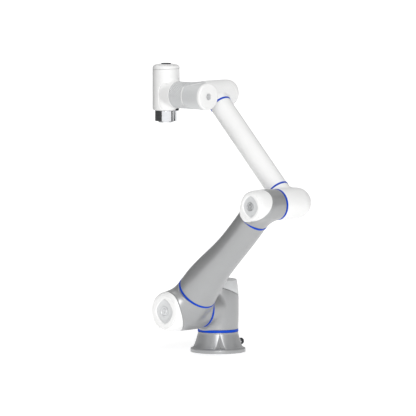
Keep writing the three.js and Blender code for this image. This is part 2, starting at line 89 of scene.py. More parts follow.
UP_ARM = unit(J3 - J2)
UP_FOREARM = unit(J4 - J3)
ARM_OFFSET = -J5[1]
FOREARM_OFFSET = -middle("forearm_tube")[1]
ARM_LINE = J2 - Y * ARM_OFFSET  # where the upper arm's axis starts
FOREARM_LINE = J3 - Y * FOREARM_OFFSET
ROOT = J4 - Y * FOREARM_OFFSET  # where the forearm meets joint 4's axis


# ------------------------------------------------------------------ camera
AIM = Vector((0.0515, -0.1073, 0.5690))
AZIMUTH = math.radians(44.75)
ELEVATION = math.radians(4.94)
DISTANCE = 24.0
SENSOR = 36.0
LENS = 537.7


def make_camera():
    data = bpy.data.cameras.new("camera")
    data.sensor_width = SENSOR
    data.lens = LENS
    data.clip_end = 1000
    camera = bpy.data.objects.new("camera", data)
    bpy.context.scene.collection.objects.link(camera)
    across = math.cos(ELEVATION)
    back = Vector((math.sin(AZIMUTH) * across, -math.cos(AZIMUTH) * across, math.sin(ELEVATION)))
    camera.location = AIM + back * DISTANCE
    camera.rotation_euler = back.to_track_quat("Z", "Y").to_euler()
    bpy.context.scene.camera = camera


make_camera()


# ------------------------------------------------------------------ fields
def smooth_min(a, b, reach):
    near = np.maximum(reach - np.abs(a - b), 0) / np.maximum(reach, 1e-6)
    return np.minimum(a, b) - near * near * reach / 4


def smooth_max(a, b, reach):
    return -smooth_min(-a, -b, reach)


def cylinder_place(points, origin, axis):
    """The distance from an axis, the distance along it, and the direction away from it."""
    offset = points - origin
    along = offset @ axis
    away = offset - along[..., None] * axis
    radius = np.maximum(np.linalg.norm(away, axis=-1), 1e-9)
    return radius, along, away / radius[..., None]


def fair_curve(knots, samples=200):
    """A smooth curve through (place, value) knots that never overshoots, as a function."""
    x, y = np.array(knots, float).T
    step = np.diff(x)
    rise = np.diff(y) / step
    slope = np.zeros_like(y)
    slope[0], slope[-1] = rise[0], rise[-1]
    for i in range(1, len(x) - 1):
        if rise[i - 1] * rise[i] > 0:
            slope[i] = 2 * rise[i - 1] * rise[i] / (rise[i - 1] + rise[i])
    at = np.linspace(x[0], x[-1], samples)
    i = np.clip(np.searchsorted(x, at) - 1, 0, len(step) - 1)
    t = (at - x[i]) / step[i]
    value = (
        (1 + 2 * t) * (1 - t) ** 2 * y[i] + t * (1 - t) ** 2 * step[i] * slope[i]
        + t * t * (3 - 2 * t) * y[i + 1] + t * t * (t - 1) * step[i] * slope[i + 1]
    )
    return lambda places: np.interp(places, at, value)


def tee(body, branch, fillet):
    """Two round bodies joined with a fillet where they meet at an angle, and with none where they run together.
    Each is (field, direction away from its axis)."""
    (first, first_away), (second, second_away) = body, branch
    cosine = np.sum(first_away * second_away, axis=-1)
    return smooth_min(first, second, fillet * np.clip(1 - cosine, 0, 1))


def gradient(field, points, step=0.05):
    """The field's slope, from four samples at a tetrahedron's corners."""
    corners = np.array([[1, -1, -1], [-1, -1, 1], [-1, 1, -1], [1, 1, 1]], float)
    total = sum(corner * field(points + corner * step)[..., None] for corner in corners)
    return total / (4 * step)


def settle(field, points, rounds, flattest=0.05, longest=1.5):
    """Moves points onto the zero surface. flattest bounds the squared slope, and longest each move."""
    for _ in range(rounds):
        slope = gradient(field, points)
        size = np.maximum(np.sum(slope * slope, axis=-1), flattest)
        shift = field(points)[:, None] * slope / size[:, None]
        points = points - np.clip(shift, -longest, longest)
    return points


def net(field, low, high, step):
    """Points and quads on the field's zero surface inside a box, one point for each cell that it crosses."""
    axes = [np.arange(a - 2 * step, b + 3 * step, step) for a, b in zip(low, high)]
    value = field(np.stack(np.meshgrid(*axes, indexing="ij"), -1))
    inside = value < 0
    cells = tuple(n - 1 for n in value.shape)
    corners = [(i, j, k) for i in (0, 1) for j in (0, 1) for k in (0, 1)]

    def shifted(array, corner):
        return array[tuple(slice(c, c + n) for c, n in zip(corner, cells))]

    filled = sum(shifted(inside, corner).astype(np.int8) for corner in corners)
    active = (filled > 0) & (filled < 8)
    at = np.argwhere(active)
    total = np.zeros((len(at), 3))
    count = np.zeros(len(at))
    for first in corners:
        for axis in range(3):
            if first[axis]:
                continue
            second = tuple(c + (n == axis) for n, c in enumerate(first))
            a = value[tuple((at + first).T)]
            b = value[tuple((at + second).T)]
            crossed = (a < 0) != (b < 0)
            share = np.where(crossed, a / np.where(crossed, a - b, 1), 0)
            place = np.array(first, float)[None, :] + share[:, None] * np.eye(3)[axis]
            total += place * crossed[:, None]
            count += crossed
    start = np.array([axis[0] for axis in axes])
    points = start + (at + total / count[:, None]) * step

    number = np.full(cells, -1)
    number[tuple(at.T)] = np.arange(len(at))
    quads = []
    for axis in range(3):
        u, v = (axis + 1) % 3, (axis + 2) % 3
        here = [slice(1, -1)] * 3
        there = [slice(1, -1)] * 3
        here[axis] = slice(0, -1)
        there[axis] = slice(1, None)
        crossed = np.argwhere(inside[tuple(here)] != inside[tuple(there)])
        crossed[:, [u, v]] += 1
        leaving = inside[tuple(crossed.T)]
        ring = []
        for du, dv in ((-1, -1), (0, -1), (0, 0), (-1, 0)):
            cell = crossed.copy()
            cell[:, u] += du
            cell[:, v] += dv
            ring.append(number[tuple(cell.T)])
        ring = np.stack(ring, 1)
        ring[~leaving] = ring[~leaving][:, ::-1]
        quads.append(ring)
    return points, np.concatenate(quads)


def relax(points, quads, share=0.6):
    """Moves each point towards the mean of its neighbours."""
    a = np.concatenate([quads[:, i] for i in range(4)])
    b = np.concatenate([quads[:, (i + 1) % 4] for i in range(4)])
    ends, starts = np.concatenate([a, b]), np.concatenate([b, a])
    count = np.bincount(ends, minlength=len(points))
    totals = [np.bincount(ends, weights=points[starts, i], minlength=len(points)) for i in range(3)]
    mean = np.stack(totals, 1) / np.maximum(count, 1)[:, None]
    return points + share * (mean - points)


# ------------------------------------------------------------------ meshes
def link(name, mesh, material, body, nodes):
    mesh.materials.append(material)
    piece = bpy.data.objects.new(name, mesh)
    bpy.context.scene.collection.objects.link(piece)
    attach(piece, body)
    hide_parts(*nodes)
    return piece


def mesh_of(name, points, faces):
    mesh = bpy.data.meshes.new(name)
    corners = faces.shape[1]
    mesh.vertices.add(len(points))
    mesh.vertices.foreach_set("co", (points * MM).astype(np.float32).ravel())
    mesh.loops.add(faces.size)
    mesh.loops.foreach_set("vertex_index", faces.astype(np.int32).ravel())
    mesh.polygons.add(len(faces))
    mesh.polygons.foreach_set("loop_start", np.arange(0, faces.size, corners, dtype=np.int32))
    mesh.update(calc_edges=True)
    mesh.validate()
    mesh.shade_smooth()
    return mesh


def cast(name, field, low, high, material, body, nodes, step=2.2):
    """A casting from its field."""
    points, quads = net(field, low, high, step)
    for _ in range(3):
        points = settle(field, relax(points, quads), 2)
    points = settle(field, points, 3)
    mesh = mesh_of(name, points, quads)
    slope = gradient(field, points)
    mesh.normals_split_custom_set_from_vertices(slope / np.linalg.norm(slope, axis=1)[:, None])
    return link(name, mesh, material, body, nodes)


SHARP = math.radians(38)  # an edge with a larger angle than this is drawn crisp
STRAIGHT = 0.985  # a corner whose cosine is above this is left as it is


def rounded(outline, radius, steps=4):
    """A closed outline of (radius, place) points with its corners rounded."""
    result = []
    count = len(outline)
    for i, corner in enumerate(outline):
        corner = np.array(corner, float)
        before = np.array(outline[i - 1], float) - corner
        after = np.array(outline[(i + 1) % count], float) - corner
        reach = min(radius, np.linalg.norm(before) * 0.45, np.linalg.norm(after) * 0.45)
        a, b = corner + unit(before) * reach, corner + unit(after) * reach
        if corner[0] < 1e-6 or abs(np.dot(unit(before), unit(after))) > STRAIGHT:
            result.append(corner)
            continue
        for t in np.linspace(0, 1, steps + 1):
            result.append((1 - t) ** 2 * a + 2 * t * (1 - t) * corner + t * t * b)
    return np.array(result)


def turn(name, outline, origin, axis, material, body, node, segments=144, wave=None, bend=None):
    """A closed outline of (radius, place) points turned about an axis. wave(angle, radius, place) moves the
    wall, and bend(place) moves the middle of each section."""
    axis = unit(np.array(axis, float))
    side = unit(np.cross(axis, Y if abs(axis[1]) < 0.9 else X))
    up = np.cross(axis, side)
    angle = np.linspace(0, 2 * np.pi, segments, endpoint=False)
    outline = np.array(outline)
    radius, place = outline[:, 0][None, :], outline[:, 1][None, :]
    swing = angle[:, None]
    if wave:
        radius = radius + wave(swing, radius, place)
    radius = np.broadcast_to(radius, (segments, len(outline)))
    points = (
        origin + place[..., None] * axis
        + radius[..., None] * (np.cos(swing)[..., None] * side + np.sin(swing)[..., None] * up)
    )
    if bend:
        points = points + bend(np.broadcast_to(place, radius.shape))
    count = len(outline)
    i, j = np.meshgrid(np.arange(segments), np.arange(count), indexing="ij")
    i2, j2 = (i + 1) % segments, (j + 1) % count
    quads = np.stack([i * count + j, i2 * count + j, i2 * count + j2, i * count + j2], -1).reshape(-1, 4)
    points = points.reshape(-1, 3)
    mesh = mesh_of(name, points, quads)
    tidy = bmesh_cleaned(mesh)
    tidy.set_sharp_from_angle(angle=SHARP)
    return link(name, tidy, material, body, [node])


def bmesh_cleaned(mesh):
    """Merges the points on the axis and faces all quads outwards."""
    work = bmesh.new()
    work.from_mesh(mesh)
    bmesh.ops.remove_doubles(work, verts=work.verts, dist=1e-6)
    bmesh.ops.dissolve_degenerate(work, edges=work.edges, dist=1e-7)
    bmesh.ops.recalc_face_normals(work, faces=work.faces)
    work.to_mesh(mesh)
    work.free()
    mesh.shade_smooth()
    return mesh


def ring_outline(outer, inner, low, high, edge=1.0, waist=0.0):
    """A ring's outline. A waist draws the middle of its outer wall in, as a seal's wiping groove does."""
    step = (high - low) / 3
    wall = [(outer, low), (outer, high)]
    if waist:
        wall = [
            (outer, low), (outer, low + step), (outer - waist, low + 1.3 * step),
            (outer - waist, high - 1.3 * step), (outer, high - step), (outer, high),
        ]
    return rounded([(inner, low), *wall, (inner, high)], edge)


SEAL_EDGE = 0.7


def seal(name, outer, inner, low, high, waist, origin, axis, body, node):
    """A blue ring between two castings, or between a casting and a tube."""
    outline = ring_outline(outer, inner, low, high, SEAL_EDGE, waist)
    turn(name, outline, origin, axis, BLUE, body, node)


def new_material(name, metallic=0.0, coat=0.0):
    material = bpy.data.materials.new(name + "_look")
    material.use_nodes = True
    shader = material.node_tree.nodes["Principled BSDF"]
    shader.inputs["Metallic"].default_value = metallic
    shader.inputs["Coat Weight"].default_value = coat
    shader.inputs["Coat Roughness"].default_value = 0.25
    return material, material.node_tree.nodes, material.node_tree.links, shader


def noise(nodes, links, scale, detail=3.0, stretch=(1, 1, 1)):
    """Noise in the part's own frame, stretched by these factors along X, Y and Z."""
    place = nodes.new("ShaderNodeTexCoord")
    mapping = nodes.new("ShaderNodeMapping")
    mapping.inputs["Scale"].default_value = stretch
    links.new(place.outputs["Object"], mapping.inputs["Vector"])
    texture = nodes.new("ShaderNodeTexNoise")
    texture.inputs["Scale"].default_value = scale
    texture.inputs["Detail"].default_value = detail
    links.new(mapping.outputs["Vector"], texture.inputs["Vector"])
    return texture.outputs["Fac"]


def ramp(nodes, links, source, low, high):
    """A number or a colour that follows the source from low to high."""
    node = nodes.new("ShaderNodeValToRGB")
    node.color_ramp.elements[0].position = 0.3
    node.color_ramp.elements[1].position = 0.7
    for element, value in zip(node.color_ramp.elements, (low, high)):
        colour = value if isinstance(value, (tuple, list)) else (value,) * 3
        element.color = (*colour, 1)
    links.new(source, node.inputs["Fac"])
    return node.outputs["Color"]


def bump(nodes, links, shader, source, strength, depth):
    node = nodes.new("ShaderNodeBump")
    node.inputs["Strength"].default_value = strength
    node.inputs["Distance"].default_value = depth
    links.new(source, node.inputs["Height"])
    links.new(node.outputs["Normal"], shader.inputs["Normal"])


def shade(colour, factor):
    return tuple(channel * factor for channel in colour)


def coated_metal(name, colour, roughness, metallic=0.0, coat=0.0):
    """Sprayed or anodised castings: a fine even grain, and a very faint change of tone across each face."""
    material, nodes, links, shader = new_material(name, metallic, coat)
    tone = ramp(nodes, links, noise(nodes, links, 9, 2), shade(colour, 0.975), colour)
    links.new(tone, shader.inputs["Base Color"])
    gloss = ramp(nodes, links, noise(nodes, links, 60, 4), roughness * 0.92, roughness * 1.08)
    links.new(gloss, shader.inputs["Roughness"])
    bump(nodes, links, shader, noise(nodes, links, 1400, 2), 0.10, 0.0003)
    return material


def machined(name, colour, roughness, stretch):
    """Turned metal with fine cutting lines round its axis."""
    material, nodes, links, shader = new_material(name, 1.0)
    lines = noise(nodes, links, 900, 3, stretch)
    tone = ramp(nodes, links, lines, shade(colour, 0.88), colour)
    links.new(tone, shader.inputs["Base Color"])
    gloss = ramp(nodes, links, lines, roughness * 0.8, roughness * 1.25)
    links.new(gloss, shader.inputs["Roughness"])
    bump(nodes, links, shader, lines, 0.06, 0.0002)
    return material


def moulded(name, colour, roughness):
    """Moulded plastic or rubber with a fine spark-eroded grain."""
    material, nodes, links, shader = new_material(name)
    shader.inputs["Specular IOR Level"].default_value = 0.2
    tone = ramp(nodes, links, noise(nodes, links, 35, 3), shade(colour, 0.9), colour)
    links.new(tone, shader.inputs["Base Color"])
    gloss = ramp(nodes, links, noise(nodes, links, 300, 3), roughness * 0.85, roughness * 1.15)
    links.new(gloss, shader.inputs["Roughness"])
    bump(nodes, links, shader, noise(nodes, links, 2200, 1), 0.15, 0.0002)
    return material


def winding():
    """Lacquered copper wire, in bands round the motor."""
    material, nodes, links, shader = new_material("motor_winding", 0.8)
    bands = nodes.new("ShaderNodeTexWave")
    bands.inputs["Scale"].default_value = 160
    bands.inputs["Distortion"].default_value = 1.5
    place = nodes.new("ShaderNodeTexCoord")
    links.new(place.outputs["Object"], bands.inputs["Vector"])
    links.new(ramp(nodes, links, bands.outputs["Fac"], (0.16, 0.05, 0.02), (0.45, 0.17, 0.07)),
              shader.inputs["Base Color"])
    links.new(ramp(nodes, links, bands.outputs["Fac"], 0.55, 0.32), shader.inputs["Roughness"])
    bump(nodes, links, shader, bands.outputs["Fac"], 0.4, 0.0005)
    return material


def circuit_board():
    """Green solder mask with paler copper areas."""
    material, nodes, links, shader = new_material("circuit_board", 0.0, 0.4)
    cells = nodes.new("ShaderNodeTexVoronoi")
    cells.distance = "CHEBYCHEV"
    cells.inputs["Scale"].default_value = 140
    place = nodes.new("ShaderNodeTexCoord")
    links.new(place.outputs["Object"], cells.inputs["Vector"])
    links.new(ramp(nodes, links, cells.outputs["Distance"], (0.05, 0.28, 0.12), (0.01, 0.09, 0.04)),
              shader.inputs["Base Color"])
    links.new(ramp(nodes, links, cells.outputs["Distance"], 0.35, 0.6), shader.inputs["Roughness"])
    bump(nodes, links, shader, cells.outputs["Distance"], 0.2, 0.0003)
    return material


GREY = coated_metal("grey_shell", (0.38, 0.384, 0.388), 0.34, 0.45, 0.1)
LIGHT = coated_metal("light_shell", (0.66, 0.67, 0.675), 0.42, 0.1, 0.15)
WHITE = coated_metal("white_shell", (0.86, 0.86, 0.855), 0.38, 0.0, 0.3)
BLUE = moulded("blue_ring", (0.001, 0.06, 0.52), 0.5)
DARK = moulded("dark_plastic", (0.035, 0.037, 0.042), 0.5)
STEEL = machined("steel", (0.62, 0.63, 0.65), 0.2, (0.02, 0.02, 1))
POLISHED = machined("polished_steel", (0.72, 0.73, 0.75), 0.1, (0.02, 0.02, 1))
ALUMINIUM = machined("aluminium", (0.8, 0.81, 0.82), 0.42, (1, 0.03, 1))
WINDING = winding()
BOARD = circuit_board()


# ------------------------------------------------------------------ shared shapes
EDGE = 1.6  # how far a plain machined edge is rounded
PARTING_GAP = 1.0
FINE_EDGE = 0.8
FINE_GAP = 0.6


def split(shape, parting, gap=PARTING_GAP, edge=EDGE):
    """The fields of a casting and of its cap. parting is positive on the cap's side, and gap is the line left
    open between them."""
    def casting(points):
        return smooth_max(shape(points), parting(points), edge)

    def cap(points):
        return smooth_max(shape(points), gap - parting(points), edge)

    return casting, cap


def quarter_ways(first):
    """Four level directions a quarter turn apart, from this angle."""
    for quarter in range(4):
        turned = first + quarter * math.pi / 2
        yield X * math.cos(turned) + Y * math.sin(turned)


# ------------------------------------------------------------------ base
BASE = np.zeros(3)
FLANGE_RADIUS = span("base_housing")[1][0]
FLANGE_HEIGHT = 16
NECK_TOP = 79.2
base_flare = fair_curve([
    (-6, 102.5), (17, 98.2), (26, 93.5), (34, 90), (46, 86), (57.5, 82.6), (68, 79.8), (74, 78.7),
    (85, 78.4),
])
BASE_BORE = 66
BASE_CAVITY = 72
CAVITY_TOP = 53
FLANGE_CROWN = 5
FLARE_FILLET = 4
POCKET_ROOT = 78.6  # where the two walls of a bolt pocket meet
POCKET_SPREAD = 1.25  # half width of a pocket for each millimetre outwards
BOLT_CIRCLE = 91
BOLT_HOLE = 4.5
CONNECTOR = Z * middle("base_connector")[2]  # its axis runs along Y from here
CONNECTOR_BOSS = 16
CONNECTOR_BODY = 10.8
BOSS_START = 40
BOSS_END = 99.5
BOSS_FILLET = 6
POCKET_EDGE = 2
BOLT_CLOCKING = math.radians(50)


def base_field(points):
    radius, height, _ = cylinder_place(points, BASE, Z)
    flare = smooth_max(radius - base_flare(height), height - NECK_TOP, EDGE)
    flange = smooth_max(radius - FLANGE_RADIUS, height - FLANGE_HEIGHT, FLANGE_CROWN)
    body = smooth_min(flare, flange, FLARE_FILLET)
    across, out, _ = cylinder_place(points, CONNECTOR, Y)
    boss = smooth_max(across - CONNECTOR_BOSS, np.maximum(out - BOSS_END, BOSS_START - out), EDGE)
    body = smooth_min(body, boss, BOSS_FILLET)
    for way in quarter_ways(BOLT_CLOCKING):
        over = np.abs(points @ np.cross(Z, way))
        walls = (over - (points @ way - POCKET_ROOT) * POCKET_SPREAD) / math.hypot(1, POCKET_SPREAD)
        pocket = smooth_max(walls, FLANGE_HEIGHT - height, POCKET_EDGE)
        body = smooth_max(body, -pocket, POCKET_EDGE)
        hole, _, _ = cylinder_place(points, way * BOLT_CIRCLE, Z)
        body = smooth_max(body, BOLT_HOLE - hole, FINE_EDGE)
    hollow = np.where(height < CAVITY_TOP, radius - BASE_CAVITY, radius - BASE_BORE)
    body = np.maximum(body, -hollow)
    body = np.where(out > 0, np.maximum(body, CONNECTOR_BODY - across), body)
    return smooth_max(body, -height, EDGE)


cast("base_casting", base_field, *span("base_housing"), GREY, "base", ["base_housing"], step=2)
seal("base_seal", 79.4, 66.3, 79.5, 89.5, 0.4, BASE, Z, "base", "base_seal_ring")
turn("connector_body", rounded([
    (0, 62), (10.5, 62), (10.5, 99.9), (13, 99.9), (13, 103.4), (9.6, 103.4), (9.6, 106), (10.5, 107),
    (10.5, 111), (9.8, 112), (9.8, 114), (10.5, 115), (10.5, 121.4), (10.1, 121.4), (10.1, 128), (0, 128),
], 0.6), CONNECTOR, Y, STEEL, "base", "base_connector", 96)


def knurl(angle, radius, place):
    """The finger grip round the dust cap's rim."""
    on_rim = (radius > 12) * (place > 122.3) * (place < 131)
    return 0.5 * np.cos(24 * angle) * on_rim


turn("connector_dust_cap", rounded([
    (0, 128.3), (10.8, 128.3), (10.8, 122), (12.4, 122), (12.4, 131.2), (11, 133), (0, 133),
], 0.5), CONNECTOR, Y, DARK, "base", "connector_cap", wave=knurl)


# ------------------------------------------------------------------ shoulder
SHOULDER_TOP = 283
SHOULDER_FOOT = span("shoulder_housing")[0][2]
SHOULDER_BORE = 71
SIDE_STUB = 74.5
SIDE_BORE = 62
shoulder_wall = fair_curve([
    (80, 78.9), (100, 79.1), (120, 79.8), (150, 80.5), (205, 80.5), (225, 80), (245, 78.5), (265, 75.6),
    (283, 72.3), (290, 71),
])
SHOULDER_FILLET = 30
SHOULDER_END = -span("shoulder_housing")[0][1]
SHOULDER_CROWN = 4
TOP_WALL = 7
SHOULDER_PARTING = 239  # height of the slanted parting plane over the base's axis
SHOULDER_SLANT = 0.387


def shoulder_shape(points):
    radius, height, away = cylinder_place(points, BASE, Z)
    body = smooth_max(radius - shoulder_wall(height), height - SHOULDER_TOP, SHOULDER_CROWN)
    body = smooth_max(body, SHOULDER_FOOT - height, EDGE)
    across, out, stub_away = cylinder_place(points, J2, FRONT)
    stub = np.maximum(across - SIDE_STUB, -out)
    outside = tee((body, away), (stub, stub_away), SHOULDER_FILLET)
    outside = smooth_max(outside, out - SHOULDER_END, EDGE)
    inside = np.maximum(radius - SHOULDER_BORE, height - SHOULDER_TOP + TOP_WALL)
    side_hole = np.maximum(across - SIDE_BORE, -out)
    return np.maximum(outside, -np.minimum(inside, side_hole))


def shoulder_split(points):
    """Positive above the slanted plane between the shoulder and its cap."""
    above = points[..., 2] - SHOULDER_PARTING + SHOULDER_SLANT * points[..., 1]
    return above / math.hypot(1, SHOULDER_SLANT)


shoulder_box = around("shoulder_housing", "shoulder_cap")
shoulder_field, shoulder_cap_field = split(shoulder_shape, shoulder_split)
cast("shoulder_casting", shoulder_field, *shoulder_box, GREY, "shoulder", ["shoulder_housing"])
cast("shoulder_top_cap", shoulder_cap_field, *shoulder_box, LIGHT, "shoulder", ["shoulder_cap"])
seal("joint_2_seal", 75.4, 62.3, 94.8, 103.2, 0.4, J2, FRONT, "shoulder", "j2_seal_ring")


# ------------------------------------------------------------------ caps with a rhombic recess
RHOMBUS_POWER = 1.55


def rhombus(u, v, half_width, half_height):
    """About the distance outside a rounded rhombus."""
    size = (np.abs(u / half_width) ** RHOMBUS_POWER + np.abs(v / half_height) ** RHOMBUS_POWER)
    return (size ** (1 / RHOMBUS_POWER) - 1) * half_width * 0.75


RECESS_DEPTH = 5
RECESS_DRAFT = 0.6  # how far the recess's wall leans in for each millimetre of depth
RECESS_SIZE = (47, 50)  # half its width and half its height
RECESS_EDGE = 1.2
LINE_RADIUS = 62.5
LINE_WIDTH = 1.6
LINE_ZONE = 7  # the ring line is only cut this near to the face
INLAY_INSET = 3.5
PLUG_RADIUS = 19.5


def cap_face(points, body, origin, face, scale):
    """A cap with its recess and the thin ring groove that follows its crown cut out of the body's field."""
    radius, out, _ = cylinder_place(points, origin, FRONT)
    offset = points - origin
    edge = rhombus(offset @ X, offset @ Z, RECESS_SIZE[0] * scale, RECESS_SIZE[1] * scale)
    recess = smooth_max(edge + (face - out) * RECESS_DRAFT, face - RECESS_DEPTH - out, RECESS_EDGE)
    line = np.hypot(radius - LINE_RADIUS * scale, body) - LINE_WIDTH
    groove = np.where(out > face - LINE_ZONE, line, RECESS_DEPTH)
    return np.maximum(body, -np.minimum(recess, groove))


def inlay(name, origin, face, scale, body, node, samples=160):
    """The pale insert in a cap's recess: a rhombic plate with a raised lip round its edge."""
    low = face - RECESS_DEPTH + 0.3
    wide, tall = [(size - INLAY_INSET) * scale for size in RECESS_SIZE]
    # each section is a share of the outline and a height
    sections = [
        (0, 0), (1, 0), (1, 1.3), (0.985, 1.8), (0.93, 1.8), (0.91, 1.2), (0.6, 1.2), (0.3, 1.2), (0, 1.2),
    ]
    angle = np.linspace(0, 2 * np.pi, samples, endpoint=False)
    c, z = np.cos(angle), np.sin(angle)
    size = (np.abs(c) ** RHOMBUS_POWER + np.abs(z) ** RHOMBUS_POWER) ** (-1 / RHOMBUS_POWER)
    rim = (wide * c * size)[:, None] * X + (tall * z * size)[:, None] * Z
    rings = [origin + FRONT * (low + rise) + rim * share for share, rise in sections]
    points = np.stack(rings, 1)
    count = points.shape[1]
    i, j = np.meshgrid(np.arange(samples), np.arange(count - 1), indexing="ij")
    after = (i + 1) % samples
    quads = np.stack([i * count + j, after * count + j, after * count + j + 1, i * count + j + 1], -1)
    mesh = bmesh_cleaned(mesh_of(name, points.reshape(-1, 3), quads.reshape(-1, 4)))
    mesh.set_sharp_from_angle(angle=SHARP)
    link(name, mesh, LIGHT, body, [node])


def plug(name, origin, axis, low, radius, height, body, node):
    """A round plug with a concentric groove and a dimple in its middle."""
    top = low + height
    turn(name, rounded([
        (0, low), (radius, low), (radius, top), (radius * 0.8, top), (radius * 0.77, top - 1.1),
        (radius * 0.62, top - 1.1), (radius * 0.59, top), (radius * 0.18, top), (radius * 0.1, top - 0.9),
        (0, top - 0.9),
    ], 0.3), origin, axis, ALUMINIUM, body, node, 96)


def dress_cap(prefix, place, origin, face, scale, body):
    inlay(place + "_inlay", origin, face, scale, body, prefix + "_cap_inlay")
    seat = face - RECESS_DEPTH + 2.4
    plug(place + "_plug", origin, FRONT, seat, PLUG_RADIUS * scale, 1.6, body, prefix + "_cap_plug")


# ------------------------------------------------------------------ joint 2 module
j2_wall = fair_curve([
    (90, 73.2), (103, 74.4), (117, 77.8), (145, 80), (190, 80.5), (234, 79.8), (259, 78.6), (274, 77),
    (284, 74.6), (291, 71), (297, 64.5), (303, 52),
])
J2_FACE = -span("j2_cap")[0][1]
J2_FOOT_OFFSET = 103.5
J2_BORE = 70
J2_ROOT = 79.5
J2_FILLET = 62
J2_ROOT_END = 100.2
LOWER_BORE = 66  # of the upper arm's tube, at its lower end
CAP_FLOOR = 8


def tee_shape(points, turned, branched, fillet, crown=5):
    """A hollow T-shaped casting with its cap still on. The turned body is (origin, axis, wall, foot, face,
    bore), and the branch that carries a tube is (origin, axis, radius, taper, end, bore)."""
    origin, axis, wall, foot, face, bore = turned
    line, way, root, taper, root_end, root_bore = branched
    radius, out, away = cylinder_place(points, origin, axis)
    across, along, root_away = cylinder_place(points, line, way)
    body = radius - wall(out)
    branch = np.maximum(across - (root - taper * along), -along)
    outside = tee((body, away), (branch, root_away), fillet)
    outside = smooth_max(outside, along - root_end, EDGE)
    outside = smooth_max(outside, out - face, crown)
    outside = smooth_max(outside, foot - out, EDGE)
    inside = np.maximum(radius - bore, out - face + CAP_FLOOR)
    tube_hole = np.maximum(across - root_bore, -along)
    return np.maximum(outside, -np.minimum(inside, tube_hole))


def j2_shape(points):
    body = tee_shape(
        points, (J2, FRONT, j2_wall, J2_FOOT_OFFSET, J2_FACE, J2_BORE),
        (ARM_LINE, UP_ARM, J2_ROOT, 0, J2_ROOT_END, LOWER_BORE), J2_FILLET,
    )
    return cap_face(points, body, J2, J2_FACE, 1.0)


def slanted_parting(points, origin, way, height, slope, limit, bend):
    """Positive on the cap's side of a parting that slants towards the face and flattens out at its limit."""
    _, out, _ = cylinder_place(points, origin, FRONT)
    slanted = height + slope * ((points - origin) @ way)
    return (out - smooth_min(slanted, limit, bend)) / math.hypot(1, 0.5)


def j2_split(points):
    return slanted_parting(points, J2, UP_ARM, 247.5, 0.547, 289, 8)


def cap_box(cap, housing):
    """A box round a front cap, as wide as its casting."""
    low, high = around(cap, housing)
    return low, np.array([high[0], span(cap)[1][1] + 2, high[2]])


j2_housing_field, j2_cap_field = split(j2_shape, j2_split)
cast("joint_2_casting", j2_housing_field, *around("j2_housing", "j2_cap"), GREY, "upper_arm", ["j2_housing"])
cast("joint_2_cap", j2_cap_field, *cap_box("j2_cap", "j2_housing"), WHITE, "upper_arm", ["j2_cap"], step=1.5)
dress_cap("j2", "joint_2", J2, J2_FACE, 1.0, "upper_arm")

UPPER_BORE = 49  # of the upper arm's tube, at its upper end
TUBE_START, TUBE_END = 108.8, 531.4
seal("upper_arm_lower_clamp", 79.9, LOWER_BORE, 100.5, 108.5, 0.3, ARM_LINE, UP_ARM, "upper_arm",
     "upper_arm_lower_ring")
tube_wall = fair_curve([
    (108, 79), (165, 75), (228, 68), (280, 63.5), (333, 60.4), (385, 59), (438, 58.9), (490, 59),
    (532, 59.3),
])
tube_bend = fair_curve([
    (108, 0), (160, -4), (228, -5.7), (280, -3.3), (333, 0), (385, 2), (438, 2.5), (490, 2), (532, 0),
])
BEND_WAY = np.array([0.6, 0.528, -0.6])
tube_outside = [(tube_wall(place), place) for place in np.linspace(TUBE_START, TUBE_END, 60)]
tube_inside = [
    (UPPER_BORE, TUBE_END), (UPPER_BORE, 400), (51, 335), (54.5, 275), (60, 215), (65, 165),
    (LOWER_BORE, TUBE_START),
]
turn("upper_arm_casting", rounded(tube_outside + tube_inside, 0.8), ARM_LINE, UP_ARM, GREY, "upper_arm",
     "upper_arm_tube", bend=lambda place: tube_bend(place)[..., None] * BEND_WAY)
seal("upper_arm_upper_clamp", 60.3, UPPER_BORE, 531.7, 539.7, 0.3, ARM_LINE, UP_ARM, "upper_arm",
     "upper_arm_upper_ring")


# ------------------------------------------------------------------ joint 3 module
j3_wall = fair_curve([
    (108, 57.4), (121, 59), (135, 60.6), (160, 62), (195, 62.5), (222, 61.6), (238, 60.2), (249, 58),
    (256, 55), (260.5, 51.2), (263.5, 46), (268, 36),
])
J3_FACE = -span("j3_cap")[0][1]
J3_FOOT_OFFSET = 121
J3_SCALE = 0.87  # of its recess, beside joint 2's
J3_BORE = 52
J3_ROOT = 60.2
J3_FILLET = 56
J3_ROOT_END = 66.8
J3_CROWN = 4


def j3_shape(points):
    body = tee_shape(
        points, (J3, FRONT, j3_wall, J3_FOOT_OFFSET, J3_FACE, J3_BORE),
        (J3 - Y * ARM_OFFSET, -UP_ARM, J3_ROOT, 0.01, J3_ROOT_END, UPPER_BORE), J3_FILLET, J3_CROWN,
    )
    return cap_face(points, body, J3, J3_FACE, J3_SCALE)


def j3_split(points):
    return slanted_parting(points, J3, -UP_ARM, 235.5, 0.68, 255, 16)


j3_housing_field, j3_cap_field = split(j3_shape, j3_split)
cast("joint_3_casting", j3_housing_field, *around("j3_housing", "j3_cap"), GREY, "upper_arm", ["j3_housing"],
     step=2)
cast("joint_3_cap", j3_cap_field, *cap_box("j3_cap", "j3_housing"), WHITE, "upper_arm", ["j3_cap"], step=1.4)
dress_cap("j3", "joint_3", J3, J3_FACE, J3_SCALE, "upper_arm")
seal("joint_3_seal", 59.8, 49.3, 112.7, 120.7, 0.4, J3, FRONT, "upper_arm", "j3_seal_ring")


